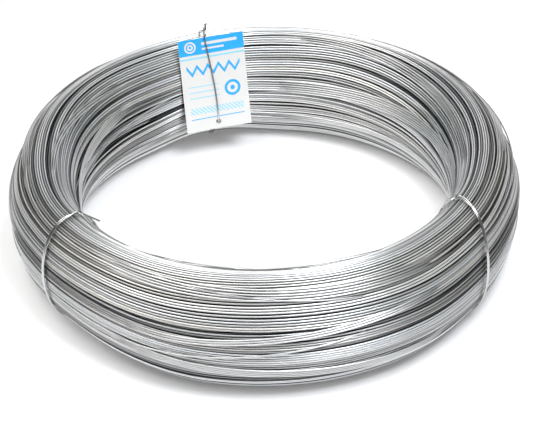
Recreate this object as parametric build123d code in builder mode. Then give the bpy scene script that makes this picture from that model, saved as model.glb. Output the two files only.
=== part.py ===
from build123d import *

import os
from collections import namedtuple
from itertools import accumulate
from math import acos, asin, cos, degrees, hypot, radians, sin, tan

# A coil of galvanised wire that lies flat, bound by three wire ties, with a card tag under the rear tie.
# Millimetres, +Z up. The origin is on the coil's axis, at the floor.

# Coil
bore_diameter = 352.0
winding_width = 68.0  # from the bore to the coil's outside
coil_height = 120.0
rest_width = 14.0  # flat ring of turns that the coil lies on
groove_depth = 2.6  # how far the gaps between the bundles of turns sink in
flank_share = 0.12  # of a bundle's width, sloping into the gap on each side of its crest
# Widths of the bundles round the section, from the rest ring's outer edge over the top to its inner edge
bundle_shares = (9, 6, 7, 8, 9, 8, 10, 6, 8, 9)

# Ties, each one length of wire wound twice round the coil
tie_wire_diameter = 1.6
tie_wire_sides = 5
tie_turn_gap = 0.3  # between a tie's two turns
seat_gap = 0.35  # between a tie or the tag and what it lies on
tie_sides = 18  # straight runs in one turn
knot_height = 3.0  # from the tie's turns to the middle of the knot
knot_length = 5.0  # straight stretch of both ends before they twist
twist_pitch = 10.0
twist_sides = 5  # straight runs in one turn of the twist
twist_gap = 0.15  # between the two twisted ends
tail_splay = 8.0  # degrees
bend_share = 0.45  # of the shorter run beside a corner, the most that its bend takes up
largest_bend = 4.0
left_tail_length = 20.0
right_tail_length = 12.0
rear_tail_length = 4.0

# A tie's place round the coil, how far round it runs askew from the coil's top to its bore, how far it draws the
# section in, and how far round the coil that waist runs before and after it. Then where its knot is on the section,
# the way its twist points (outward along the coil's radius, up, clockwise round the coil) and its two ends. Places,
# skews and waists are in degrees
Tie = namedtuple(
    "Tie", "azimuth skew pinch_share waist_before waist_after knot_angle twist_shares twist_turns tail_length"
)
left_tie_design = Tie(213.3, 0.4, 0.09, 24.0, 44.0, 101.0, (-0.10, 0.03, -1.0), 0.6, left_tail_length)
right_tie_design = Tie(329.1, 3.9, 0.04, 24.0, 24.0, 101.0, (-0.08, 0.0, 1.0), 0.6, right_tail_length)
rear_tie_design = Tie(105.9, 0.0, 0.05, 24.0, 24.0, 81.0, (-0.10, 1.0, 0.15), 0.4, rear_tail_length)

# Card tag
tag_width = 68.0
tag_height = 98.0
tag_thickness = 0.5
tag_corner_radius = 1.0
tag_hole_diameter = 5.5
tag_hole_height = 7.0  # from the tag's lower edge to the middle of its hole
tag_tilt = 13.7  # degrees that its top leans outward
tag_rise = 14.0  # from where it touches the coil up to its middle
threading_depth = 4.5  # how far behind the tag the rear tie's wire turns towards its hole
threaded_rise = 34.0  # of that wire, straight up from the hole before it leans to its knot
rear_knot_shift = 6.5  # of its knot, to the left of the tag's middle

# Sizes that follow
mean_radius = (bore_diameter + winding_width) / 2
half_width = winding_width / 2
rest_angle = acos(rest_width / 2 / half_width)
half_height = coil_height / (1 + sin(rest_angle))
centre_height = half_height * sin(rest_angle)
tie_radius = tie_wire_diameter / 2
tie_pitch = tie_wire_diameter + tie_turn_gap
lean = radians(tag_tilt)


def section_plane(azimuth):
    """The plane that cuts the coil at an azimuth: x runs outward, y up, from the middle of the section."""
    outward = Vector(1, 0, 0).rotate(Axis.Z, azimuth)
    middle = outward * mean_radius + Vector(0, 0, centre_height)
    return Plane(middle, x_dir=outward, z_dir=outward.cross(Vector(0, 0, 1)))


def foot_lift(fullness):
    """How far the middle of a section moves up, which keeps its top in place and lifts its foot for the tie's wire."""
    return half_height * (1 - fullness)


def section_point(angle, inset, fullness):
    """A point at an angle round the coil's oval section, set in from it and drawn in by a tie towards its top."""
    across, upward = cos(angle) / half_width, sin(angle) / half_height
    depth = inset / hypot(across, upward)
    return (
        fullness * (half_width * cos(angle) - depth * across),
        fullness * (half_height * sin(angle) - depth * upward) + foot_lift(fullness),
    )


def coil_section(azimuth, fullness):
    """The section of the coil: bundles of turns as ridges with sloping flanks, on a flat foot."""
    span = 2 * (rest_angle + radians(90)) / sum(bundle_shares)
    grooves = [-rest_angle + span * share for share in accumulate(bundle_shares, initial=0)]
    points = [section_point(grooves[0], 0, fullness)]
    for start, end in zip(grooves, grooves[1:]):
        flank = flank_share * (end - start)
        points.append(section_point(start + flank, 0, fullness))
        points.append(section_point(end - flank, 0, fullness))
        points.append(section_point(end, groove_depth, fullness))
    points[-1] = section_point(grooves[-1], 0, fullness)
    with BuildSketch(section_plane(azimuth)) as section:
        with BuildLine():
            Polyline(*points, close=True)
        make_face()
    return section.sketch.face()


def fullness_at(tie, waist_share):
    """How much of the full section is left at a share of the way from a tie to the end of its waist."""
    return 1 - tie.pinch_share * cos(radians(90) * waist_share) ** 2


def waist_section(tie, waist_share):
    """The coil's section at a share of the way from a tie to the end of its waist, before the tie or after it."""
    waist = tie.waist_after if waist_share > 0 else tie.waist_before
    return coil_section(tie.azimuth + waist_share * waist, fullness_at(tie, waist_share))


ties = (rear_tie_design, left_tie_design, right_tie_design)
waist_shares = (-1, -0.8, -0.6, -0.3, 0, 0.3, 0.6, 0.8, 1)

with BuildPart() as wire_coil:
    lengths = []
    for tie, next_tie in zip(ties, ties[1:] + ties[:1]):
        waist = [waist_section(tie, share) for share in waist_shares]
        turn = (next_tie.azimuth - tie.azimuth) % 360 - tie.waist_after - next_tie.waist_before
        lengths.append(loft(waist, mode=Mode.PRIVATE).solid())
        lengths.append(revolve(waist[-1], axis=Axis.Z, revolution_arc=turn, mode=Mode.PRIVATE).solid())
    # The lengths meet face to face, which the fuse is told so that it needs no search for crossings
    add(lengths[0].fuse(*lengths[1:], glue=True))
wire_coil.part.label = "wire_coil"


def tag_offset():
    """How far the tag's middle plane stands from the middle of the section: its two sides lie on the coil."""
    turn = asin(tag_width / 2 / (mean_radius - half_width))
    fullness = fullness_at(rear_tie_design, degrees(turn) / rear_tie_design.waist_after)
    inward = fullness * hypot(half_width * cos(turn) * cos(lean), half_height * sin(lean))
    inward += mean_radius * (1 - cos(turn)) * cos(lean) + foot_lift(fullness) * sin(lean)
    return inward + seat_gap + tag_thickness / 2


tag_up = Vector(sin(lean), cos(lean), 0)
tag_front = Vector(-cos(lean), sin(lean), 0)
tag_middle = tag_front * tag_offset() + tag_up * tag_rise
tag_hole = tag_middle - tag_up * (tag_height / 2 - tag_hole_height)

with BuildPart() as card_tag:
    rear = section_plane(rear_tie_design.azimuth)
    face = Plane(
        rear.from_local_coords(tag_middle),
        x_dir=rear.z_dir,
        z_dir=rear.from_local_coords(tag_front) - rear.origin,
    )
    with BuildSketch(face):
        RectangleRounded(tag_width, tag_height, tag_corner_radius)
        with Locations((0, tag_hole_height - tag_height / 2)):
            Circle(tag_hole_diameter / 2, mode=Mode.SUBTRACT)
    extrude(amount=tag_thickness / 2, both=True)
card_tag.part.label = "card_tag"


def set_askew(tie, angle, place):
    """A place at an angle round a tie's section, moved round the coil to where the tie runs askew."""
    there = section_plane(tie.azimuth - tie.skew * cos(angle))
    return section_plane(tie.azimuth).to_local_coords(there.from_local_coords(place))


def wound_turns(tie, wrap):
    """Corners of a tie's taut runs, from its knot over the coil's top and down its outside, for a wrap in degrees."""
    step = radians(360 / tie_sides)
    fullness = 1 - tie.pinch_share
    stand_off = seat_gap + tie_radius
    corners = []
    for run in range(round(wrap * tie_sides / 360)):
        angle = radians(tie.knot_angle) - step * (run + 1 / 2)
        across = (fullness * half_width + stand_off) * cos(angle) / cos(step / 2)
        upward = (fullness * half_height + stand_off) * sin(angle) / cos(step / 2)
        corner = Vector(across, upward + foot_lift(fullness), tie_pitch * ((run + 1) / tie_sides - 1))
        corners.append(set_askew(tie, angle, corner))
    return corners


def twisted_ends(tie, knot, first_corner):
    """The two ends of a tie from its knot outward: side by side, wound round each other, then splayed."""
    along = Vector(*tie.twist_shares).normalized()
    third = along.cross(first_corner - knot).normalized()
    sideways = third.cross(along)
    twist_radius = (tie_radius + twist_gap / 2) / cos(radians(180 / twist_sides))
    steps = round(tie.twist_turns * twist_sides)
    ends = []
    for side in (0, 180):
        points = [knot + sideways * (twist_radius * cos(radians(side)))]
        for step in range(steps + 1):
            turn = radians(side + step * 360 / twist_sides)
            ring = sideways * cos(turn) + third * sin(turn)
            points.append(knot + ring * twist_radius + along * (knot_length + step * twist_pitch / twist_sides))
        splay = along * cos(radians(tail_splay)) + ring * sin(radians(tail_splay))
        points.append(points[-1] + splay * tie.tail_length)
        ends.append(points)
    return ends


def corner_radii(points):
    """The bend at each corner of a wire's path, which leaves a little of both its runs straight."""
    radii = []
    for before, corner, after in zip(points, points[1:], points[2:]):
        arriving, leaving = corner - before, after - corner
        shorter_run = min(arriving.length, leaving.length)
        roomy_bend = bend_share * shorter_run / tan(radians(arriving.get_angle(leaving)) / 2)
        radii.append(min(roomy_bend, largest_bend))
    return radii


def make_tie(tie, name, wrap, threading, knot):
    """One tie: its wire from one tail to the other, through the turns and any points that it is threaded along."""
    section = section_plane(tie.azimuth)
    turns = wound_turns(tie, wrap)
    first_end, last_end = twisted_ends(tie, knot, turns[0])
    with BuildPart() as binding:
        with BuildLine() as path:
            for points in (first_end[::-1] + turns[:1], turns, turns[-1:] + threading + last_end):
                places = [section.from_local_coords(point) for point in points]
                if points is turns:
                    Polyline(*places)
                else:
                    FilletPolyline(*places, radius=corner_radii(points))
        with BuildSketch(Plane(path.line @ 0, z_dir=path.line % 0)):
            RegularPolygon(tie_radius, tie_wire_sides)
        sweep(path=path.line, transition=Transition.RIGHT)
    binding.part.label = name
    return binding.part


def seated_knot(tie):
    """The middle of a knot that stands on its own tie's turns."""
    angle = radians(tie.knot_angle)
    seat = Vector(*section_point(angle, 0, 1 - tie.pinch_share), 0)
    off_coil = Vector(cos(angle) / half_width, sin(angle) / half_height, 0).normalized()
    return set_askew(tie, angle, seat + off_coil * (seat_gap + tie_radius + knot_height))


plain_wrap = 720
left_tie = make_tie(left_tie_design, "left_tie", plain_wrap, [], seated_knot(left_tie_design))
right_tie = make_tie(right_tie_design, "right_tie", plain_wrap, [], seated_knot(right_tie_design))

# The rear tie's last turn comes up inside the bore, through the tag's hole and up the tag's face
threaded_wrap = 600
over_tag = tag_front * (tag_thickness / 2 + seat_gap + tie_radius)
under_knot = tag_middle + tag_up * (tag_height / 2) - Vector(0, 0, rear_knot_shift)
threading = [
    tag_hole - tag_front * threading_depth,
    tag_hole + over_tag,
    tag_hole + tag_up * threaded_rise + over_tag,
    under_knot + over_tag,
]
rear_tie = make_tie(rear_tie_design, "rear_tie", threaded_wrap, threading, under_knot + tag_up * knot_height)

os.makedirs("parts", exist_ok=True)
export_step(wire_coil.part, "parts/wire_coil.step")
export_step(left_tie, "parts/left_tie.step")
export_step(right_tie, "parts/right_tie.step")
export_step(rear_tie, "parts/rear_tie.step")
export_step(card_tag.part, "parts/card_tag.step")
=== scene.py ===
"""Dresses a coil of galvanised wire that lies flat: its strands, three binding wires and a card tag."""

from collections import namedtuple
from math import acos, asin, cos, degrees, hypot, pi, radians, sin

import bpy
import numpy as np
from bpy.props import FloatProperty, FloatVectorProperty, IntProperty, PointerProperty
from mathutils import Matrix, Vector


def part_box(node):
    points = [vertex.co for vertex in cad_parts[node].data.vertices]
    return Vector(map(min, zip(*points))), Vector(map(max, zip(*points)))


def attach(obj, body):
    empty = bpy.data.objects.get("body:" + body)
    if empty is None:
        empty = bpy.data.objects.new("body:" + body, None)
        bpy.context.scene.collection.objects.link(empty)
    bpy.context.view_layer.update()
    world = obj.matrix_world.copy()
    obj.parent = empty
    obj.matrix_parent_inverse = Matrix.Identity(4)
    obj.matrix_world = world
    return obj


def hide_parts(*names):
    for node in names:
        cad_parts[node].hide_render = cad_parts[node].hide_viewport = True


bl_info = {
    "name": "Galvanised wire coil",
    "version": (1, 0, 0),
    "blender": (4, 5, 0),
    "location": "View3D > Sidebar > Wire coil",
    "description": "Winds the strands of a wire coil, binds them and hangs the card tag",
    "category": "Add Mesh",
}

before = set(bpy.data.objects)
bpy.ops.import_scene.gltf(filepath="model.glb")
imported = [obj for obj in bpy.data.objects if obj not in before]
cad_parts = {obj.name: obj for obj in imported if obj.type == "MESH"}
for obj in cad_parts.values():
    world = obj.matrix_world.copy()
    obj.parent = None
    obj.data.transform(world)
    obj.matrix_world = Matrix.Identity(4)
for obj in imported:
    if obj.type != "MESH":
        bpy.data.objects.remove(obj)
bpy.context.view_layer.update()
coil_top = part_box("wire_coil")[1].z

MM = 0.001
MEAN_RADIUS = 210 * MM  # from the coil's axis to the middle of its section

# A tie's place round the coil, how far it runs askew from the coil's top to its bore, its pull on the
# section and how far round that waist runs before and after it, how far it is wrapped, its knot's place on
# the section, the way its twist points (outward, up, clockwise round the coil) and its ends. Angles are in
# degrees
Tie = namedtuple(
    "Tie",
    "node azimuth skew pinch_share waist_before waist_after wrap knot_angle "
    "twist_shares twist_turns tail_length",
)
LEFT_TIE = Tie(
    node="left_tie", azimuth=213.3, skew=0.4, pinch_share=0.09, waist_before=24.0, waist_after=44.0,
    wrap=720, knot_angle=101.0, twist_shares=(-0.10, 0.03, -1.0), twist_turns=0.6, tail_length=20 * MM,
)
RIGHT_TIE = Tie(
    node="right_tie", azimuth=329.1, skew=3.9, pinch_share=0.04, waist_before=24.0, waist_after=24.0,
    wrap=720, knot_angle=101.0, twist_shares=(-0.08, 0.0, 1.0), twist_turns=0.6, tail_length=12 * MM,
)
REAR_TIE = Tie(
    node="rear_tie", azimuth=105.9, skew=0.0, pinch_share=0.05, waist_before=24.0, waist_after=24.0,
    wrap=600, knot_angle=81.0, twist_shares=(-0.10, 1.0, 0.15), twist_turns=0.4, tail_length=4 * MM,
)
TIES = (REAR_TIE, LEFT_TIE, RIGHT_TIE)


class CoilSettings(bpy.types.PropertyGroup):
    """Sizes and colours of the wound wire."""

    winding_width: FloatProperty(
        name="Winding width",
        description="From the bore to the coil's outside",
        default=68 * MM,
        unit="LENGTH",
    )
    rest_width: FloatProperty(
        name="Rest width", description="Flat ring that the coil lies on", default=14 * MM, unit="LENGTH"
    )
    strand_diameter: FloatProperty(
        name="Strand diameter", description="Gauge of the wire", default=1.8 * MM, unit="LENGTH"
    )
    strand_spacing: FloatProperty(
        name="Strand spacing", description="Between neighbours in a bundle", default=2.4 * MM, unit="LENGTH"
    )
    top_strands: IntProperty(
        name="Top strands", description="Turns in the outermost bundles", default=107
    )
    base_strands: IntProperty(
        name="Base strands", description="Turns in the layer that they lie on", default=104
    )
    under_strands: IntProperty(
        name="Under strands", description="Turns in the layer below", default=94
    )
    crossings: IntProperty(
        name="Crossings", description="Bundles that lie across the others, after each tie", default=6
    )
    crossing_depth: FloatProperty(
        name="Crossing depth",
        description="How far the bundles under them keep down",
        default=0.6 * MM,
        unit="LENGTH",
    )
    stray_strands: IntProperty(
        name="Stray strands", description="Turns that cross over the others", default=8
    )
    seed: IntProperty(
        name="Seed", description="Picks how the turns bunch and wander", default=16
    )
    # The dark end of the tones: dull zinc on the top turns, painted shade on the deeper layers and the
    # heart
    dark_zinc: FloatVectorProperty(
        name="Dark zinc",
        description="The dullest turns",
        subtype="COLOR",
        default=(0.045, 0.046, 0.048),
        size=3,
    )
    cool_zinc: FloatVectorProperty(
        name="Cool zinc",
        description="Bright turns, bluish",
        subtype="COLOR",
        default=(0.79, 0.81, 0.84),
        size=3,
    )
    warm_zinc: FloatVectorProperty(
        name="Warm zinc",
        description="Bright turns, yellowish",
        subtype="COLOR",
        default=(0.84, 0.82, 0.78),
        size=3,
    )


class TieSettings(bpy.types.PropertyGroup):
    """Sizes and colour of the binding wires."""

    wire_diameter: FloatProperty(
        name="Wire diameter", description="Gauge of the binding wire", default=1.6 * MM, unit="LENGTH"
    )
    colour: FloatVectorProperty(
        name="Colour",
        description="Soft galvanised wire",
        subtype="COLOR",
        default=(0.52, 0.52, 0.52),
        size=3,
    )


class TagSettings(bpy.types.PropertyGroup):
    """Sizes and colours of the card tag."""

    width: FloatProperty(
        name="Width", description="Across the card", default=68 * MM, unit="LENGTH"
    )
    height: FloatProperty(
        name="Height", description="From its foot to its top", default=98 * MM, unit="LENGTH"
    )
    thickness: FloatProperty(
        name="Thickness", description="Of the card", default=0.5 * MM, unit="LENGTH"
    )
    curl: FloatProperty(
        name="Curl",
        description="How far its lower corners lift off the coil",
        default=1.6 * MM,
        unit="LENGTH",
    )
    card: FloatVectorProperty(
        name="Card", description="Coated card", subtype="COLOR", default=(0.77, 0.765, 0.75), size=3
    )
    ink: FloatVectorProperty(
        name="Ink", description="Printed blue", subtype="COLOR", default=(0.025, 0.42, 0.91), size=3
    )
    pale_ink: FloatVectorProperty(
        name="Pale ink",
        description="Printed light blue",
        subtype="COLOR",
        default=(0.30, 0.70, 0.90),
        size=3,
    )


class StageSettings(bpy.types.PropertyGroup):
    """Light and floor."""

    floor: FloatVectorProperty(
        name="Floor", description="Pale floor", subtype="COLOR", default=(0.83, 0.83, 0.84), size=3
    )
    floor_lift: FloatProperty(
        name="Floor lift", description="How much whiter the floor is seen", default=0.16
    )
    key_power: FloatProperty(
        name="Key power", description="Main lamp", default=42.0, unit="POWER"
    )
    wide_power: FloatProperty(
        name="Wide power", description="Wide lamp at the left", default=62.0, unit="POWER"
    )
    front_power: FloatProperty(
        name="Front power", description="Wide lamp in front", default=14.0, unit="POWER"
    )
    rear_power: FloatProperty(
        name="Rear power", description="Long lamp behind", default=15.0, unit="POWER"
    )
    side_power: FloatProperty(
        name="Side power", description="Lamp at the right", default=12.0, unit="POWER"
    )
    sky: FloatProperty(
        name="Sky", description="Strength of the surrounding light", default=0.14
    )


SETTINGS = {
    "wire_coil": CoilSettings,
    "wire_ties": TieSettings,
    "card_tag": TagSettings,
    "wire_stage": StageSettings,
}

# The coil's section and how it runs round. Azimuths are in degrees

Section = namedtuple("Section", "lengths points normals half_width half_height centre_height")
OUTLINE_POINTS = 600
FOOT_POINTS = 40


def coil_section(coil):
    """The full section from the middle of its foot outward, over the top and back."""
    half_width = coil.winding_width / 2
    rest_angle = acos(coil.rest_width / coil.winding_width)
    half_height = coil_top / (1 + sin(rest_angle))
    centre_height = half_height * sin(rest_angle)
    angles = np.linspace(-rest_angle, pi + rest_angle, OUTLINE_POINTS)
    arc = np.stack([half_width * np.cos(angles), half_height * np.sin(angles)], axis=1)
    foot = np.linspace(0, coil.rest_width / 2, FOOT_POINTS, endpoint=False)
    level = np.full_like(foot, -centre_height)
    points = np.concatenate([np.stack([foot, level], 1), arc, np.stack([-foot[::-1], level], 1)])
    along = np.gradient(points, axis=0)
    along /= np.linalg.norm(along, axis=1, keepdims=True)
    normals = np.stack([along[:, 1], -along[:, 0]], axis=1)
    steps = np.linalg.norm(np.diff(points, axis=0), axis=1)
    lengths = np.concatenate([[0], np.cumsum(steps)])
    return Section(lengths, points, normals, half_width, half_height, centre_height)


def round_coil(steps):
    """Azimuths at even steps round the coil."""
    return np.arange(steps) * 360 / steps


def turn_from(middle, azimuths):
    """How far azimuths lie from a middle one, from -180 to 180 degrees."""
    return (azimuths - middle + 180) % 360 - 180


def hump(turn, reach):
    """A smooth rise from 0 to 1 and back, within a reach to either side."""
    return np.cos(radians(90) * np.clip(turn / reach, -1, 1)) ** 2


def eased(share):
    """A share from 0 to 1, made to start and end softly."""
    return share**2 * (3 - 2 * share)


def tie_pull(azimuths, reach=None):
    """How strongly each tie pulls at each azimuth, from 0 to 1, within its waist or another reach."""
    pulls = []
    for tie in TIES:
        turn = turn_from(tie.azimuth, azimuths)
        waist = np.where(turn > 0, tie.waist_after, tie.waist_before) if reach is None else reach
        pulls.append(hump(turn, waist))
    return np.array(pulls)


def fullness(azimuths):
    """How much of the full section the ties leave at each azimuth."""
    pinches = np.array([tie.pinch_share for tie in TIES])
    return 1 - np.tensordot(pinches, tie_pull(azimuths), axes=1)


def wound_paths(section, along, depth, azimuths):
    """Points of strands at lengths along the section and depths under it. A tie draws them upward."""
    full = fullness(azimuths)
    along = np.clip(along, 0, section.lengths[-1])
    place = [np.interp(along, section.lengths, section.points[:, axis]) for axis in (0, 1)]
    normal = [np.interp(along, section.lengths, section.normals[:, axis]) for axis in (0, 1)]
    radius = MEAN_RADIUS + full * place[0] - depth * normal[0]
    lift = section.half_height * (1 - full)
    height = section.centre_height + lift + full * place[1] - depth * normal[1]
    turn = np.radians(azimuths)
    return np.stack(np.broadcast_arrays(radius * np.cos(turn), radius * np.sin(turn), height), axis=-1)


# How the strands bunch

WAVE_ORDERS = 4
WAVE_FALL = 0.6  # how much weaker the shorter waves are
SWELL_WAVES = 12
SWELL_ORDERS = 3
SWELL_SOFTNESS = 3
SLACK = 0.12 * MM  # between any two strands
GAP_REACH = (24, 70)  # degrees to either side
GAP_SHARE = (0.3, 1)  # of the layer's widest gap
EVEN_AZIMUTH = 285  # where the gaps are most alike
EVEN_REACH = 55  # degrees to either side
EVEN_SHARE = 0.45  # how alike they become there, from 0 to 1
EDGE_STRANDS = 4  # that sink on either side of a gap
EDGE_FADE = 1.5  # strands


def waves(rng, count, azimuths, size):
    """One gentle wave round the coil for each of a count of things."""
    turn = np.radians(azimuths)
    total = 0
    for order in range(1, WAVE_ORDERS + 1):
        phase = rng.uniform(0, 2 * pi, (count, 1))
        amount = rng.normal(0, 1, (count, 1)) / order**WAVE_FALL
        total = total + amount * np.cos(order * turn + phase)
    return size * total


def swell(rng, count, azimuths, narrowest, widest):
    """A slow swell from 0 to 1 across a layer's strands and round the coil."""
    index = np.arange(count)[:, None]
    turn = np.radians(azimuths)
    total = 0
    for _ in range(SWELL_WAVES):
        strands = rng.uniform(narrowest, widest)
        order = rng.integers(-SWELL_ORDERS, SWELL_ORDERS + 1)
        total = total + np.cos(2 * pi * index / strands + order * turn + rng.uniform(0, 2 * pi))
    return 0.5 + 0.5 * np.tanh(total / SWELL_SOFTNESS)


def lay_strands(rng, section, count, spacing, azimuths, layer):
    """Where a layer's strands lie along the section, and the gaps before them that open and close."""
    opened = SLACK * np.abs(waves(rng, count, azimuths, 1))
    for strand in range(count):
        for _ in range(rng.poisson(layer.gaps)):
            shape = hump(turn_from(rng.uniform(0, 360), azimuths), rng.uniform(*GAP_REACH))
            opened[strand] += rng.uniform(*GAP_SHARE) * layer.gap_width * shape
    closest = spacing / fullness(azimuths)
    length = section.lengths[-1]
    opened *= (length - count * closest) / opened.sum(axis=0)
    loose = 1 - EVEN_SHARE * hump(turn_from(EVEN_AZIMUTH, azimuths), EVEN_REACH)
    opened = opened.mean(axis=0) * (1 - loose) + opened * loose
    return np.cumsum(closest + opened, axis=0) - closest / 2, opened


def rounded_edges(opened):
    """How far each strand sinks beside the gaps, which makes a bundle round rather than flat."""
    sunk = np.zeros_like(opened)
    for away in range(-EDGE_STRANDS, EDGE_STRANDS + 1):
        sunk += np.roll(opened, away, axis=0) * np.exp(-abs(away + 0.5) / EDGE_FADE)
    return sunk


# Meshes from arrays

def tube_quads(count, steps, sides, closed):
    """Quads of tubes whose vertices lie in rings, step by step."""
    first = (np.arange(count) * steps * sides)[:, None, None]
    spans = np.arange(steps if closed else steps - 1)[None, :, None]
    here = first + spans * sides
    there = first + (spans + 1) % steps * sides
    side = np.arange(sides)[None, None, :]
    after = (side + 1) % sides
    return np.stack([here + side, there + side, there + after, here + after], axis=-1).reshape(-1, 4)


def tubes(paths, azimuths, radius, sides, closed):
    """Vertices and quads of round tubes along paths that run round the coil."""
    count, steps = paths.shape[:2]
    turn = np.radians(np.broadcast_to(azimuths, (count, steps)))
    outward = np.stack([np.cos(turn), np.sin(turn), np.zeros_like(turn)], axis=-1)
    upward = np.array([0, 0, 1.0])
    angles = 2 * pi * np.arange(sides) / sides
    ring = np.cos(angles)[:, None] * outward[..., None, :] + np.sin(angles)[:, None] * upward
    vertices = (paths[:, :, None, :] + radius * ring).reshape(-1, 3)
    return vertices, tube_quads(count, steps, sides, closed)


def mesh_piece(name, vertices, quads, tones, warmths):
    """A smooth mesh object from arrays, with a tone and a warmth for each vertex."""
    mesh = bpy.data.meshes.new(name)
    mesh.vertices.add(len(vertices))
    mesh.vertices.foreach_set("co", vertices.astype(np.float32).ravel())
    mesh.loops.add(quads.size)
    mesh.loops.foreach_set("vertex_index", quads.astype(np.int32).ravel())
    mesh.polygons.add(len(quads))
    mesh.polygons.foreach_set("loop_start", np.arange(0, quads.size, 4, dtype=np.int32))
    mesh.polygons.foreach_set("use_smooth", np.ones(len(quads), dtype=bool))
    for label, values in (("tone", tones), ("warmth", warmths)):
        attribute = mesh.attributes.new(label, "FLOAT", "POINT")
        attribute.data.foreach_set("value", np.broadcast_to(values, len(vertices)).astype(np.float32))
    mesh.update(calc_edges=True)
    piece = bpy.data.objects.new(name, mesh)
    bpy.context.scene.collection.objects.link(piece)
    return piece


# Materials

ZINC_ROUGHNESS = 0.32
TIE_ROUGHNESS = 0.2
ROUGHNESS_SWING = 0.05
GRAIN_SCALE = 60
GRAIN_DETAIL = 3
CARD_ROUGHNESS = 0.45
FLOOR_ROUGHNESS = 0.9


def new_material(name):
    """A material with its nodes, links and shader."""
    material = bpy.data.materials.new(name)
    material.use_nodes = True
    nodes = material.node_tree.nodes
    return material, nodes, material.node_tree.links, nodes["Principled BSDF"]


def mixed(nodes, links, share, first, second):
    """A colour between two, by a share."""
    mix = nodes.new("ShaderNodeMix")
    mix.data_type = "RGBA"
    links.new(share, mix.inputs["Factor"])
    for colour, end in ((first, mix.inputs[6]), (second, mix.inputs[7])):
        if isinstance(colour, bpy.types.NodeSocket):
            links.new(colour, end)
        else:
            end.default_value = (*colour, 1)
    return mix.outputs[2]


def maths(nodes, links, operation, *values):
    """One sum of sockets and numbers."""
    node = nodes.new("ShaderNodeMath")
    node.operation = operation
    for value, entry in zip(values, node.inputs):
        if isinstance(value, bpy.types.NodeSocket):
            links.new(value, entry)
        else:
            entry.default_value = value
    return node.outputs[0]


def satin(nodes, links, shader, roughness):
    """An uneven satin metal: the gloss varies along the wire."""
    shader.inputs["Metallic"].default_value = 1.0
    place = nodes.new("ShaderNodeTexCoord")
    grain = nodes.new("ShaderNodeTexNoise")
    grain.inputs["Scale"].default_value = GRAIN_SCALE
    grain.inputs["Detail"].default_value = GRAIN_DETAIL
    links.new(place.outputs["Object"], grain.inputs["Vector"])
    gloss = nodes.new("ShaderNodeMapRange")
    gloss.inputs["To Min"].default_value = roughness - ROUGHNESS_SWING
    gloss.inputs["To Max"].default_value = roughness + ROUGHNESS_SWING
    links.new(grain.outputs["Fac"], gloss.inputs["Value"])
    links.new(gloss.outputs["Result"], shader.inputs["Roughness"])


def zinc_material(coil):
    """Drawn zinc: each strand has its own tone, from dark to bright, and its own warmth. The dark end is
    dull zinc on the top turns and painted shade on the deeper layers and the heart.
    """
    material, nodes, links, shader = new_material("galvanised_wire")
    levels = []
    for label in ("tone", "warmth"):
        attribute = nodes.new("ShaderNodeAttribute")
        attribute.attribute_name = label
        levels.append(attribute.outputs["Fac"])
    tone, warmth = levels
    bright = mixed(nodes, links, warmth, coil.cool_zinc, coil.warm_zinc)
    links.new(mixed(nodes, links, tone, coil.dark_zinc, bright), shader.inputs["Base Color"])
    satin(nodes, links, shader, ZINC_ROUGHNESS)
    return material


def tie_material(ties):
    """Soft galvanised binding wire."""
    material, nodes, links, shader = new_material("tie_wire")
    shader.inputs["Base Color"].default_value = (*ties.colour, 1)
    satin(nodes, links, shader, TIE_ROUGHNESS)
    return material


def finish_piece(piece, material, node):
    """Gives a piece its material and its place in the model."""
    piece.data.materials.clear()
    piece.data.materials.append(material)
    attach(piece, "root")
    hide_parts(node)


def deselect_all():
    """Leaves nothing selected."""
    if bpy.context.object and bpy.context.object.mode != "OBJECT":
        bpy.ops.object.mode_set(mode="OBJECT")
    bpy.ops.object.select_all(action="DESELECT")


# The coil's strands. Tones run from 0, dark, to 1, bright: dark is dull zinc on the top turns and painted
# shade further in

HEART_STEPS = 120
HEART_SIDES = 72
HEART_DEPTH = 6.5 * MM

# A layer of turns: the steps and sides of its strands, its depth in strand diameters, how many gaps open
# beside a strand on average and how wide, how far it bulges, its tone and how much that varies from strand
# to strand, and how many meshes it is made as
Layer = namedtuple("Layer", "name steps sides depth gaps gap_width bulge tone spread meshes")
LAYERS = (
    # The under and base layers have near-black tones: painted shade for the depth of the gaps between the
    # top turns
    Layer(
        name="under_strands", steps=120, sides=4, depth=2.6, gaps=0.5, gap_width=2 * MM, bulge=0,
        tone=0.02, spread=0.02, meshes=1,
    ),
    Layer(
        name="base_strands", steps=150, sides=5, depth=1.5, gaps=0.5, gap_width=2 * MM, bulge=0.5,
        tone=0.10, spread=0.06, meshes=2,
    ),
    Layer(
        name="top_strands", steps=240, sides=8, depth=0, gaps=1.7, gap_width=2.4 * MM, bulge=1,
        tone=0.86, spread=0.18, meshes=3,
    ),
)
TIE_GRIP = 9  # degrees from a tie, within which the bundles come up to it
BULGE = 0.5 * MM
BULGE_STRANDS = (7, 30)
EDGE_SINK = 0.35  # of the gap's width
FOOT_EASE = 7 * MM  # along the section, over which the strands begin to sink
FOOT_FLAT = 0.7  # of that length, kept flat before it
LOW_REACH = 100 * MM  # from the foot, along the section
LOW_GLINT_SPREAD = 2.8  # tones vary more near the foot, as painted glints and shade
SIDE_GLINT_SPREAD = 2.4  # and at the coil's left and right, also painted glints and shade
BUNDLE_SPREAD = 0.2
BUNDLE_STRANDS = (5, 14)
WARMTH = 0.45
WARMTH_SPREAD = 0.25

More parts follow.
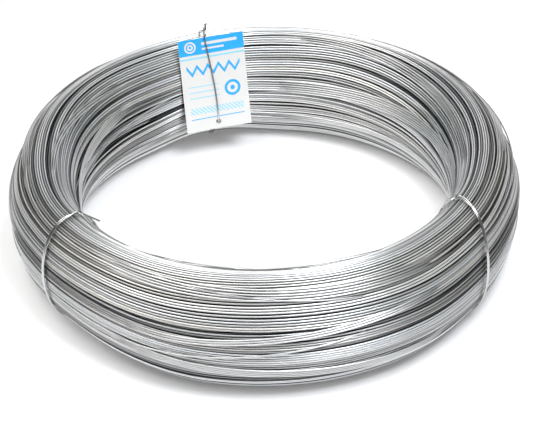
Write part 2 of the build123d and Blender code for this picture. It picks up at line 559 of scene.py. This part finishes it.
LOOSE_STEPS = 90
LOOSE_SIDES = 6
CROSSING_START = (4, 26)  # degrees from a tie
CROSSING_MARGIN = 0.1  # of the section's length, at its two ends
CROSSING_SLIDE = (6, 20)  # mm
CROSSING_RAMP = 0.28  # of a bundle's run, at its two ends
CROSSING_DIVE = 4 * MM
CROSSING_WAVER = 0.05 * MM
FEWEST_CROSSING, MOST_CROSSING = 2, 6
CROSSING_TONE = 0.85
CROSSING_SPREAD = 0.08
CROSSING_SHADED_END_TONE = 0.2  # of its tone, where it goes down: painted shade under the other turns
STRAY_START = (8, 25)  # degrees past a tie
STRAY_RUN = (45, 80)  # degrees
STRAY_PLACE = (0.18, 0.82)  # of the section's length
STRAY_SLIDE = (10, 26)  # mm
STRAY_DIVE = 5.5 * MM
STRAY_TONE = (0.5, 0.9)
STRAY_WARMTH = 0.4


class WIRECOIL_OT_wind(bpy.types.Operator):
    """Winds the coil: a dark heart, three layers of turns, bundles across them and some strays"""

    bl_idname = "wirecoil.wind"
    bl_label = "Wind the strands"

    def execute(self, context):
        self.coil = context.scene.wire_coil
        self.section = coil_section(self.coil)
        self.rng = np.random.default_rng(self.coil.seed)
        self.zinc = zinc_material(self.coil)
        self.radius = self.coil.strand_diameter / 2
        self.heart()
        for layer in LAYERS:
            self.layer(layer, getattr(self.coil, layer.name))
        self.crossings()
        self.strays()
        return {"FINISHED"}

    def place(self, name, vertices, quads, tones, warmths):
        """A finished piece of the coil."""
        piece = mesh_piece(name, vertices, quads, tones, warmths)
        finish_piece(piece, self.zinc, "wire_coil")

    def heart(self):
        """The turns further in, which only show as a dark ground in the gaps: one tube of tone 0, its
        darkness painted shade for the coil's depth.
        """
        along = (np.arange(HEART_SIDES) + 0.5) / HEART_SIDES * self.section.lengths[-1]
        rows = wound_paths(self.section, along[:, None], HEART_DEPTH, round_coil(HEART_STEPS))
        vertices = rows.swapaxes(0, 1).reshape(-1, 3)
        self.place("coil_heart", vertices, tube_quads(1, HEART_STEPS, HEART_SIDES, True), 0, 0)

    def layer(self, layer, count):
        """One layer of closed turns, in bundles that split and join round the coil."""
        rng, coil = self.rng, self.coil
        azimuths = round_coil(layer.steps)
        along, opened = lay_strands(rng, self.section, count, coil.strand_spacing, azimuths, layer)
        from_foot = np.minimum(along, self.section.lengths[-1] - along)
        keep_down = coil.crossing_depth * (1 - tie_pull(azimuths, TIE_GRIP).sum(axis=0))
        bulge = BULGE * swell(rng, count, azimuths, *BULGE_STRANDS) + EDGE_SINK * rounded_edges(opened)
        sunk = keep_down + layer.bulge * bulge
        sunk *= np.clip(from_foot / FOOT_EASE - FOOT_FLAT, 0, 1)
        depth = self.radius + layer.depth * coil.strand_diameter + sunk
        paths = wound_paths(self.section, along, depth, azimuths)
        # Random tones from strand to strand, spread wider near the foot and at the sides: painted glints
        # and shade there
        low = np.clip(1 - from_foot / LOW_REACH, 0, 1)
        sideways = np.cos(np.radians(azimuths)) ** 2
        spread = layer.spread * (1 + SIDE_GLINT_SPREAD * sideways + LOW_GLINT_SPREAD * low)
        tones = layer.tone + spread * rng.normal(0, 1, (count, 1))
        tones += BUNDLE_SPREAD * (swell(rng, count, azimuths, *BUNDLE_STRANDS) - 0.5)
        warmths = np.clip(rng.normal(WARMTH, WARMTH_SPREAD, (count, 1)), 0, 1)
        tones = np.clip(tones, 0, 1)
        self.wires(layer.name, paths, azimuths, layer.sides, True, tones, warmths, layer.meshes)

    def wires(self, name, paths, azimuths, sides, closed, tones, warmths, meshes):
        """Tubes along paths, in a number of meshes."""
        azimuths = np.broadcast_to(azimuths, paths.shape[:2])
        for number, strands in enumerate(np.array_split(np.arange(len(paths)), meshes), 1):
            vertices, quads = tubes(paths[strands], azimuths[strands], self.radius, sides, closed)
            levels = [
                np.repeat(np.broadcast_to(values, paths.shape[:2])[strands].ravel(), sides)
                for values in (tones, warmths)
            ]
            self.place(f"{name}_{number}", vertices, quads, *levels)

    def crossings(self):
        """Bundles that come up by one tie, slide across the others and go down by the next."""
        rng, coil = self.rng, self.coil
        share = np.linspace(0, 1, LOOSE_STEPS)
        slide = eased(share) - 0.5
        rise = eased(np.clip(np.minimum(share, 1 - share) / CROSSING_RAMP, 0, 1))
        depth = coil.crossing_depth + CROSSING_DIVE * (1 - rise) - coil.strand_diameter
        # Painted shade: a bundle darkens where it dives under the others
        dive_shade = CROSSING_SHADED_END_TONE + (1 - CROSSING_SHADED_END_TONE) * rise
        rows, tones = [], []
        order = sorted(tie.azimuth for tie in TIES)
        for first, last in zip(order, [*order[1:], order[0] + 360]):
            for slot in range(coil.crossings):
                start = first + rng.uniform(*CROSSING_START)
                end = last - rng.uniform(*CROSSING_START)
                azimuths = start + (end - start) * share
                place = CROSSING_MARGIN + (1 - 2 * CROSSING_MARGIN) * (slot + 0.5) / coil.crossings
                middle = self.section.lengths[-1] * place
                middle = middle + rng.choice([-1, 1]) * rng.uniform(*CROSSING_SLIDE) * MM * slide
                size = rng.integers(FEWEST_CROSSING, MOST_CROSSING + 1)
                bundle_tone = rng.normal(CROSSING_TONE, CROSSING_SPREAD)
                for strand in range(size):
                    along = middle + (strand - size / 2) * coil.strand_spacing / fullness(azimuths)
                    along = along + waves(rng, 1, azimuths, CROSSING_WAVER)[0]
                    paths = wound_paths(self.section, along, self.radius + depth, azimuths)
                    rows.append((paths, azimuths))
                    tones.append((bundle_tone + rng.normal(0, CROSSING_SPREAD)) * dive_shade)
        paths, azimuths = (np.array(column) for column in zip(*rows))
        tones = np.clip(np.array(tones), 0, 1)
        self.wires("crossing_strands", paths, azimuths, LOOSE_SIDES, False, tones, WARMTH, 1)

    def strays(self):
        """Single turns that come up between the others, cross over them and go down again."""
        rng, count = self.rng, self.coil.stray_strands
        share = np.linspace(0, 1, LOOSE_STEPS)
        depth = -self.radius + STRAY_DIVE * (1 - np.sin(pi * share) ** 0.5)
        rows = []
        for number in range(count):
            tie = TIES[number % len(TIES)]
            azimuths = tie.azimuth + rng.uniform(*STRAY_START) + share * rng.uniform(*STRAY_RUN)
            along = self.section.lengths[-1] * rng.uniform(*STRAY_PLACE)
            along = along + rng.choice([-1, 1]) * rng.uniform(*STRAY_SLIDE) * MM * share
            rows.append((wound_paths(self.section, along, depth, azimuths), azimuths))
        paths, azimuths = (np.array(column) for column in zip(*rows))
        vertices, quads = tubes(paths, azimuths, self.radius, LOOSE_SIDES, False)
        tones = np.repeat(rng.uniform(*STRAY_TONE, count), LOOSE_STEPS * LOOSE_SIDES)
        self.place("stray_strands", vertices, quads, tones, STRAY_WARMTH)


# Ties

TIE_SIDES = 18
TWIST_SIDES = 5
SEAT_GAP = 0.35 * MM
TURN_GAP = 0.3 * MM
KNOT_HEIGHT = 3 * MM
KNOT_LENGTH = 5 * MM
TWIST_PITCH = 10 * MM
TWIST_GAP = 0.15 * MM
TAIL_SPLAY = 8  # degrees
ROUTE_ORDER = 3
ROUTE_STEPS = 5
WIRE_ROUNDNESS = 3
WIRE_SMOOTH_ANGLE = 50  # degrees


def section_frame(section, azimuth):
    """The place and axes of the coil's section at an azimuth: outward, up, clockwise round the coil."""
    outward = Vector((cos(radians(azimuth)), sin(radians(azimuth)), 0))
    up = Vector((0, 0, 1))
    axes = Matrix((outward, up, outward.cross(up))).transposed().to_4x4()
    return Matrix.Translation(outward * MEAN_RADIUS + up * section.centre_height) @ axes


def set_askew(tie, section, angle, place):
    """A place at an angle round a tie's section, moved round the coil to where the tie runs askew."""
    there = section_frame(section, tie.azimuth - tie.skew * cos(angle))
    return section_frame(section, tie.azimuth).inverted() @ (there @ place)


def tie_turns(tie, section, wire_radius):
    """Corners round a tie's turns, from its knot over the coil's top and down its outside."""
    step = radians(360 / TIE_SIDES)
    full = 1 - tie.pinch_share
    lift = section.half_height * tie.pinch_share
    stand_off = SEAT_GAP + wire_radius
    corners = []
    for run in range(round(tie.wrap * TIE_SIDES / 360)):
        angle = radians(tie.knot_angle) - step * (run + 0.5)
        across = (full * section.half_width + stand_off) * cos(angle) / cos(step / 2)
        upward = (full * section.half_height + stand_off) * sin(angle) / cos(step / 2) + lift
        sideways = (2 * wire_radius + TURN_GAP) * ((run + 1) / TIE_SIDES - 1)
        corners.append(set_askew(tie, section, angle, Vector((across, upward, sideways))))
    return corners


def twisted_ends(tie, knot, first_corner, wire_radius):
    """The two ends from the knot outward: side by side, wound round each other, then splayed."""
    along = Vector(tie.twist_shares).normalized()
    third = along.cross(first_corner - knot).normalized()
    sideways = third.cross(along)
    twist_radius = (wire_radius + TWIST_GAP / 2) / cos(radians(180 / TWIST_SIDES))
    ends = []
    for side in (0, 180):
        points = [knot + sideways * (twist_radius * cos(radians(side)))]
        for step in range(round(tie.twist_turns * TWIST_SIDES) + 1):
            turn = radians(side + step * 360 / TWIST_SIDES)
            ring = sideways * cos(turn) + third * sin(turn)
            reach = KNOT_LENGTH + step * TWIST_PITCH / TWIST_SIDES
            points.append(knot + ring * twist_radius + along * reach)
        splay = along * cos(radians(TAIL_SPLAY)) + ring * sin(radians(TAIL_SPLAY))
        points.append(points[-1] + splay * tie.tail_length)
        ends.append(points)
    return ends


def seated_knot(tie, section, wire_radius):
    """The middle of a knot that stands on its own tie's turns."""
    angle = radians(tie.knot_angle)
    full = 1 - tie.pinch_share
    upward = full * section.half_height * sin(angle) + section.half_height * tie.pinch_share
    seat = Vector((full * section.half_width * cos(angle), upward, 0))
    off_coil = Vector((cos(angle) / section.half_width, sin(angle) / section.half_height, 0)).normalized()
    return set_askew(tie, section, angle, seat + off_coil * (SEAT_GAP + wire_radius + KNOT_HEIGHT))


# Card tag, in the frame of the coil's section at the rear tie

TAG_TILT = 13.7  # degrees
TAG_RISE = 14 * MM
TAG_CORNER = 1 * MM
TAG_CORNER_STEPS = 4
TAG_CUTS = (17, 25)  # parts across and upward
TAG_HOLE = 5.5 * MM
TAG_HOLE_HEIGHT = 7 * MM
TAG_HOLE_SIDES = 32
PUNCH_DEPTH = 10 * MM
CARD_SMOOTH_ANGLE = 40  # degrees
THREADING_DEPTH = 4.5 * MM
THREADED_RISE = 34 * MM
REAR_KNOT_SHIFT = 6.5 * MM
BLANK_SPOT = (0.5, 0.03)  # as shares of the card's width and height

TagPlace = namedtuple("TagPlace", "up front middle hole top")


def tag_place(section, tag):
    """Where the tag lies on the coil's inner wall, with its two sides against it."""
    lean = radians(TAG_TILT)
    turn = asin(tag.width / 2 / (MEAN_RADIUS - section.half_width))
    full = float(fullness(np.array([REAR_TIE.azimuth + degrees(turn)]))[0])
    inward = full * hypot(section.half_width * cos(turn) * cos(lean), section.half_height * sin(lean))
    inward += MEAN_RADIUS * (1 - cos(turn)) * cos(lean) + section.half_height * (1 - full) * sin(lean)
    up = Vector((sin(lean), cos(lean), 0))
    front = Vector((-cos(lean), sin(lean), 0))
    middle = front * (inward + SEAT_GAP + tag.thickness / 2) + up * TAG_RISE
    hole = middle - up * (tag.height / 2 - TAG_HOLE_HEIGHT)
    return TagPlace(up, front, middle, hole, middle + up * (tag.height / 2))


class WIRECOIL_OT_bind(bpy.types.Operator):
    """Binds the coil with three wires, wound about twice round and twisted"""

    bl_idname = "wirecoil.bind"
    bl_label = "Bind with ties"

    def execute(self, context):
        section = coil_section(context.scene.wire_coil)
        settings = context.scene.wire_ties
        wire_radius = settings.wire_diameter / 2
        wire = tie_material(settings)
        for tie in (LEFT_TIE, RIGHT_TIE):
            knot = seated_knot(tie, section, wire_radius)
            self.tie(section, tie, [], knot, wire_radius, wire)
        tag = tag_place(section, context.scene.card_tag)
        over_tag = tag.front * (context.scene.card_tag.thickness / 2 + SEAT_GAP + wire_radius)
        under_knot = tag.top - Vector((0, 0, REAR_KNOT_SHIFT))
        threading = [
            tag.hole - tag.front * THREADING_DEPTH,
            tag.hole + over_tag,
            tag.hole + tag.up * THREADED_RISE + over_tag,
            under_knot + over_tag,
        ]
        self.tie(section, REAR_TIE, threading, under_knot + tag.up * KNOT_HEIGHT, wire_radius, wire)
        return {"FINISHED"}

    def tie(self, section, tie, threading, knot, wire_radius, wire):
        """One tie as a round tube along its whole route."""
        turns = tie_turns(tie, section, wire_radius)
        first_end, last_end = twisted_ends(tie, knot, turns[0], wire_radius)
        points = first_end[::-1] + turns + threading + last_end
        place = section_frame(section, tie.azimuth)
        deselect_all()
        bpy.ops.curve.primitive_nurbs_path_add()
        route = bpy.context.object
        route.name = f"{tie.node}_wire"
        curve = route.data
        curve.splines.clear()
        spline = curve.splines.new("NURBS")
        spline.points.add(len(points) - 1)
        for control, point in zip(spline.points, points):
            control.co = (*(place @ point), 1)
        spline.order_u = ROUTE_ORDER
        spline.use_endpoint_u = True
        spline.resolution_u = ROUTE_STEPS
        curve.dimensions = "3D"
        curve.bevel_depth = wire_radius
        curve.bevel_resolution = WIRE_ROUNDNESS
        curve.use_fill_caps = True
        bpy.ops.object.convert(target="MESH")
        bpy.ops.object.transform_apply(location=True, rotation=True, scale=True)
        bpy.ops.object.shade_smooth_by_angle(angle=radians(WIRE_SMOOTH_ANGLE))
        finish_piece(bpy.context.object, wire, tie.node)


# The tag's print, in millimetres from the card's middle. Bars are given by left, right, bottom and top,
# rings by an inner and an outer radius

HEAD_BAR = (-34, 34, 32, 49)
HEAD_RULE = (-34, 34, 27.6, 29.4)
HEAD_LINES = ((-10, 27, 41.4, 44.4), (-10, 13, 36.4, 38.4))
HEAD_RING_MIDDLE = (-22, 40.5)
HEAD_RINGS = ((4.4, 6.0), (1.4, 3.0))
ZIGZAG_ENDS = (-28, 28)
ZIGZAG_MIDDLE = 15.5
ZIGZAG_SWING = 4.4
ZIGZAG_PITCH = 11.2
ZIGZAG_WIDTH = 4.2
SHORT_RULE_ENDS = (-28, 4)
SHORT_RULE_FEET = (-2, -8, -14)
SHORT_RULE_WIDTH = 0.9
TARGET_MIDDLE = (18, -8)
TARGET_RINGS = ((5.6, 8.4), (-1, 2.4))  # an inner radius below nought makes a disc
HATCHED_STRIP = (-28, 28, -31, -24)
HATCH_PITCH = 4.0
HATCH_WIDTH = 1.9
FOOT_RULE = (-28, 28, -36.5, -35.6)


class Print:
    """Builds a printed layout from nodes."""

    def __init__(self, nodes, links, tag):
        self.nodes, self.links = nodes, links
        place = nodes.new("ShaderNodeUVMap")
        size = nodes.new("ShaderNodeVectorMath")
        size.operation = "MULTIPLY_ADD"
        links.new(place.outputs["UV"], size.inputs[0])
        size.inputs[1].default_value = (tag.width / MM, tag.height / MM, 0)
        size.inputs[2].default_value = (-tag.width / 2 / MM, -tag.height / 2 / MM, 0)
        self.place = size.outputs["Vector"]
        apart = nodes.new("ShaderNodeSeparateXYZ")
        links.new(self.place, apart.inputs["Vector"])
        self.across, self.upward = apart.outputs["X"], apart.outputs["Y"]

    def maths(self, operation, *values):
        """One sum of sockets and numbers."""
        return maths(self.nodes, self.links, operation, *values)

    def both(self, first, second):
        """1 where two marks overlap."""
        return self.maths("MULTIPLY", first, second)

    def within(self, value, low, high):
        """1 where a value is between two limits."""
        return self.both(self.maths("GREATER_THAN", value, low), self.maths("LESS_THAN", value, high))

    def bar(self, left, right, bottom, top):
        """A filled bar."""
        return self.both(self.within(self.across, left, right), self.within(self.upward, bottom, top))

    def ring(self, middle, inner, outer):
        """A ring, or a disc if its inner radius is below nought."""
        reach = self.nodes.new("ShaderNodeVectorMath")
        reach.operation = "DISTANCE"
        self.links.new(self.place, reach.inputs[0])
        reach.inputs[1].default_value = (*middle, 0)
        return self.within(reach.outputs["Value"], inner, outer)

    def zigzag(self):
        """A zigzag line."""
        wave = self.maths("PINGPONG", self.across, ZIGZAG_PITCH / 2)
        slope = 4 * ZIGZAG_SWING / ZIGZAG_PITCH
        height = self.maths("MULTIPLY_ADD", wave, slope, ZIGZAG_MIDDLE - ZIGZAG_SWING)
        off = self.maths("ABSOLUTE", self.maths("SUBTRACT", self.upward, height))
        line = self.maths("LESS_THAN", off, ZIGZAG_WIDTH / 2)
        return self.both(line, self.within(self.across, *ZIGZAG_ENDS))

    def hatch(self):
        """A strip of slanting stripes."""
        slant = self.maths("WRAP", self.maths("ADD", self.across, self.upward), HATCH_PITCH, 0)
        return self.both(self.maths("LESS_THAN", slant, HATCH_WIDTH), self.bar(*HATCHED_STRIP))

    def together(self, *marks):
        """All of several marks."""
        total = marks[0]
        for mark in marks[1:]:
            total = self.maths("MAXIMUM", total, mark)
        return total


class WIRECOIL_OT_tag(bpy.types.Operator):
    """Hangs the printed card tag on the coil's inner wall"""

    bl_idname = "wirecoil.tag"
    bl_label = "Hang the tag"

    def execute(self, context):
        tag = context.scene.card_tag
        section = coil_section(context.scene.wire_coil)
        card = self.card(tag)
        self.punch(card, tag)
        self.curl(card, tag)
        bpy.ops.object.modifier_add(type="SOLIDIFY")
        card.modifiers[-1].thickness = tag.thickness
        card.modifiers[-1].offset = 0
        bpy.ops.object.modifier_apply(modifier=card.modifiers[-1].name)
        self.plain_back(card)
        place = tag_place(section, tag)
        axes = Matrix((Vector((0, 0, 1)), place.up, place.front)).transposed().to_4x4()
        rear = section_frame(section, REAR_TIE.azimuth)
        card.data.transform(rear @ Matrix.Translation(place.middle) @ axes)
        bpy.ops.object.shade_smooth_by_angle(angle=radians(CARD_SMOOTH_ANGLE))
        finish_piece(card, self.print_material(tag), "card_tag")
        return {"FINISHED"}

    def card(self, tag):
        """A flat card with round corners, cut into a grid, with its print laid out on it."""
        deselect_all()
        bpy.ops.mesh.primitive_plane_add(size=1)
        card = bpy.context.object
        card.name = "printed_tag"
        card.scale = (tag.width, tag.height, 1)
        bpy.ops.object.transform_apply(location=False, rotation=False, scale=True)
        bpy.ops.object.mode_set(mode="EDIT")
        bpy.ops.mesh.select_all(action="SELECT")
        bpy.ops.mesh.bevel(offset=TAG_CORNER, segments=TAG_CORNER_STEPS, affect="VERTICES")
        for axis, size, cuts in zip((0, 1), (tag.width, tag.height), TAG_CUTS):
            for cut in range(1, cuts):
                bpy.ops.mesh.select_all(action="SELECT")
                spot = [0, 0, 0]
                spot[axis] = size * (cut / cuts - 0.5)
                bpy.ops.mesh.bisect(plane_co=spot, plane_no=[float(axis == 0), float(axis == 1), 0])
        bpy.ops.object.mode_set(mode="OBJECT")
        layout = card.data.uv_layers[0].data
        for loop in card.data.loops:
            spot = card.data.vertices[loop.vertex_index].co
            layout[loop.index].uv = (spot.x / tag.width + 0.5, spot.y / tag.height + 0.5)
        return card

    def punch(self, card, tag):
        """Cuts the hole that the rear tie goes through."""
        deselect_all()
        bpy.ops.mesh.primitive_cylinder_add(
            vertices=TAG_HOLE_SIDES,
            radius=TAG_HOLE / 2,
            depth=PUNCH_DEPTH,
            location=(0, TAG_HOLE_HEIGHT - tag.height / 2, 0),
        )
        punch = bpy.context.object
        deselect_all()
        card.select_set(True)
        bpy.context.view_layer.objects.active = card
        bpy.ops.object.modifier_add(type="BOOLEAN")
        card.modifiers[-1].object = punch
        card.modifiers[-1].solver = "EXACT"
        bpy.ops.object.modifier_apply(modifier=card.modifiers[-1].name)
        bpy.data.objects.remove(punch)

    def curl(self, card, tag):
        """Bends the card a little: its lower corners lift."""
        for vertex in card.data.vertices:
            across = vertex.co.x / (tag.width / 2)
            low = max(0, -vertex.co.y / (tag.height / 2))
            vertex.co.z += tag.curl * across**2 * low**2

    def plain_back(self, card):
        """Lays the back and the edges on a blank spot of the print."""
        layout = card.data.uv_layers[0].data
        for face in card.data.polygons:
            if face.normal.z < 0.5:
                for loop in face.loop_indices:
                    layout[loop].uv = BLANK_SPOT

    def print_material(self, tag):
        """Coated card with a plain print: a head bar, a zigzag, rules, rings and a hatched strip."""
        material, nodes, links, shader = new_material("printed_card")
        shader.inputs["Roughness"].default_value = CARD_ROUGHNESS
        art = Print(nodes, links, tag)
        pale = art.together(
            art.bar(*HEAD_RULE),
            *[art.bar(*SHORT_RULE_ENDS, foot, foot + SHORT_RULE_WIDTH) for foot in SHORT_RULE_FEET],
            art.hatch(),
        )
        strong = art.together(
            art.bar(*HEAD_BAR),
            art.zigzag(),
            *[art.ring(TARGET_MIDDLE, *radii) for radii in TARGET_RINGS],
            art.bar(*FOOT_RULE),
        )
        white = art.together(
            *[art.ring(HEAD_RING_MIDDLE, *radii) for radii in HEAD_RINGS],
            *[art.bar(*line) for line in HEAD_LINES],
        )
        printed = mixed(nodes, links, pale, tag.card, tag.pale_ink)
        printed = mixed(nodes, links, strong, printed, tag.ink)
        links.new(mixed(nodes, links, white, printed, tag.card), shader.inputs["Base Color"])
        return material


# Stage, in metres and degrees

FLOOR_RADIUS = 12
FLOOR_SIDES = 96
FLOOR_PAINTED_FALLOFF = {"From Min": 0.36, "From Max": 0.9, "To Min": 1.0, "To Max": 0.12}  # by the way from the axis: painted shade, the floor darkens away from the coil
WHITE = (1.0, 1.0, 1.0)
COOL_WHITE = (0.94, 0.97, 1.0)
WARM_WHITE = (1.0, 0.99, 0.96)
COIL_MIDDLE = (0, 0, 0.06)

Lamp = namedtuple("Lamp", "name setting size place aim colour")
LAMPS = (
    Lamp("key_lamp", "key_power", (0.85, 0.85), (0.62, -0.75, 2.0), COIL_MIDDLE, COOL_WHITE),
    Lamp("wide_lamp", "wide_power", (2.4, 2.0), (-1.3, 0.0, 2.6), (0, 0, 0), WARM_WHITE),
    Lamp("front_lamp", "front_power", (1.8, 1.0), (-0.5, -1.5, 2.4), COIL_MIDDLE, WHITE),
    Lamp("rear_lamp", "rear_power", (4.4, 0.9), (0, 2.6, 1.85), COIL_MIDDLE, WHITE),
    Lamp("side_lamp", "side_power", (1.4, 1.4), (1.1, 0.9, 2.3), COIL_MIDDLE, WARM_WHITE),
)

CAMERA_ELEVATION = 34.52
CAMERA_DISTANCE = 2.1
CAMERA_AIM_HEIGHT = 60.4 * MM
CAMERA_ROLL = -1.43
CAMERA_PAN = -0.136
CAMERA_TILT = -0.565
SENSOR_WIDTH = 36  # mm
LENS = 146.03  # mm


class WIRECOIL_OT_stage(bpy.types.Operator):
    """Sets the floor, the light and the camera"""

    bl_idname = "wirecoil.stage"
    bl_label = "Set the stage"

    def execute(self, context):
        stage = context.scene.wire_stage
        self.floor(stage)
        for lamp in LAMPS:
            self.lamp(lamp, getattr(stage, lamp.setting))
        self.surround(context.scene, stage)
        self.camera(context.scene)
        context.scene.view_settings.view_transform = "Standard"
        return {"FINISHED"}

    def floor(self, stage):
        """A wide pale floor with the coil's shadow, seen near white by the camera and in reflections. Away
        from the coil its colour and its lift fade to dark, painted shade as if the light fell off there.
        """
        deselect_all()
        bpy.ops.mesh.primitive_circle_add(vertices=FLOOR_SIDES, radius=FLOOR_RADIUS, fill_type="NGON")
        floor = bpy.context.object
        floor.name = "floor"
        material, nodes, links, shader = new_material("pale_floor")
        shader.inputs["Roughness"].default_value = FLOOR_ROUGHNESS
        place = nodes.new("ShaderNodeTexCoord")
        reach = nodes.new("ShaderNodeVectorMath")
        reach.operation = "LENGTH"
        links.new(place.outputs["Object"], reach.inputs[0])
        # Painted shade: the floor darkens with distance from the coil's axis
        fade = nodes.new("ShaderNodeMapRange")
        fade.interpolation_type = "SMOOTHSTEP"
        links.new(reach.outputs["Value"], fade.inputs["Value"])
        for entry, value in FLOOR_PAINTED_FALLOFF.items():
            fade.inputs[entry].default_value = value
        near = fade.outputs["Result"]
        links.new(mixed(nodes, links, near, (0, 0, 0), stage.floor), shader.inputs["Base Color"])
        rays = nodes.new("ShaderNodeLightPath").outputs
        seen = rays["Is Camera Ray"]
        for ray in ("Is Glossy Ray", "Is Transmission Ray"):
            seen = maths(nodes, links, "MAXIMUM", seen, rays[ray])
        lift = maths(nodes, links, "MULTIPLY", near, seen)
        lift = maths(nodes, links, "MULTIPLY", lift, stage.floor_lift)
        shader.inputs["Emission Color"].default_value = (*WHITE, 1)
        links.new(lift, shader.inputs["Emission Strength"])
        floor.data.materials.append(material)

    def lamp(self, lamp, power):
        """A soft lamp that looks at a point."""
        deselect_all()
        bpy.ops.object.light_add(type="AREA", location=lamp.place)
        light = bpy.context.object
        light.name = lamp.name
        light.data.energy = power
        light.data.color = lamp.colour
        light.data.shape = "RECTANGLE"
        light.data.size, light.data.size_y = lamp.size
        light.rotation_euler = (Vector(lamp.aim) - Vector(lamp.place)).to_track_quat("-Z", "Y").to_euler()

    def surround(self, scene, stage):
        """A dim even light from all round."""
        world = bpy.data.worlds.new("surround")
        world.use_nodes = True
        scene.world = world
        ground = world.node_tree.nodes["Background"]
        ground.inputs["Color"].default_value = (*WHITE, 1)
        ground.inputs["Strength"].default_value = stage.sky

    def camera(self, scene):
        """The camera: above the front of the coil, a little rolled, with a long lens."""
        deselect_all()
        elevation = radians(CAMERA_ELEVATION)
        target = Vector((0, 0, CAMERA_AIM_HEIGHT))
        place = target + CAMERA_DISTANCE * Vector((0, -cos(elevation), sin(elevation)))
        bpy.ops.object.camera_add(location=place)
        camera = bpy.context.object
        camera.data.sensor_width = SENSOR_WIDTH
        camera.data.lens = LENS
        level = Matrix.Rotation(radians(90) - elevation, 4, "X")
        roll = Matrix.Rotation(radians(CAMERA_ROLL), 4, "Z")
        pan = Matrix.Rotation(radians(CAMERA_PAN), 4, "Y")
        tilt = Matrix.Rotation(radians(CAMERA_TILT), 4, "X")
        camera.rotation_euler = (level @ roll @ pan @ tilt).to_euler()
        scene.camera = camera


OPERATORS = (WIRECOIL_OT_wind, WIRECOIL_OT_bind, WIRECOIL_OT_tag, WIRECOIL_OT_stage)


class WIRECOIL_PT_panel(bpy.types.Panel):
    """Lists the steps that make the coil"""

    bl_label = "Wire coil"
    bl_idname = "WIRECOIL_PT_panel"
    bl_space_type = "VIEW_3D"
    bl_region_type = "UI"
    bl_category = "Wire coil"

    def draw(self, context):
        for group, settings in SETTINGS.items():
            box = self.layout.box()
            for name in settings.__annotations__:
                box.prop(getattr(context.scene, group), name)
        for operator in OPERATORS:
            self.layout.operator(operator.bl_idname)


CLASSES = (*SETTINGS.values(), *OPERATORS, WIRECOIL_PT_panel)


def register():
    for cls in CLASSES:
        bpy.utils.register_class(cls)
    for group, settings in SETTINGS.items():
        setattr(bpy.types.Scene, group, PointerProperty(type=settings))


def unregister():
    for group in SETTINGS:
        delattr(bpy.types.Scene, group)
    for cls in reversed(CLASSES):
        bpy.utils.unregister_class(cls)


def main():
    """Makes every piece in order."""
    register()
    bpy.ops.wirecoil.wind()
    bpy.ops.wirecoil.bind()
    bpy.ops.wirecoil.tag()
    bpy.ops.wirecoil.stage()


if __name__ == "__main__":
    main()
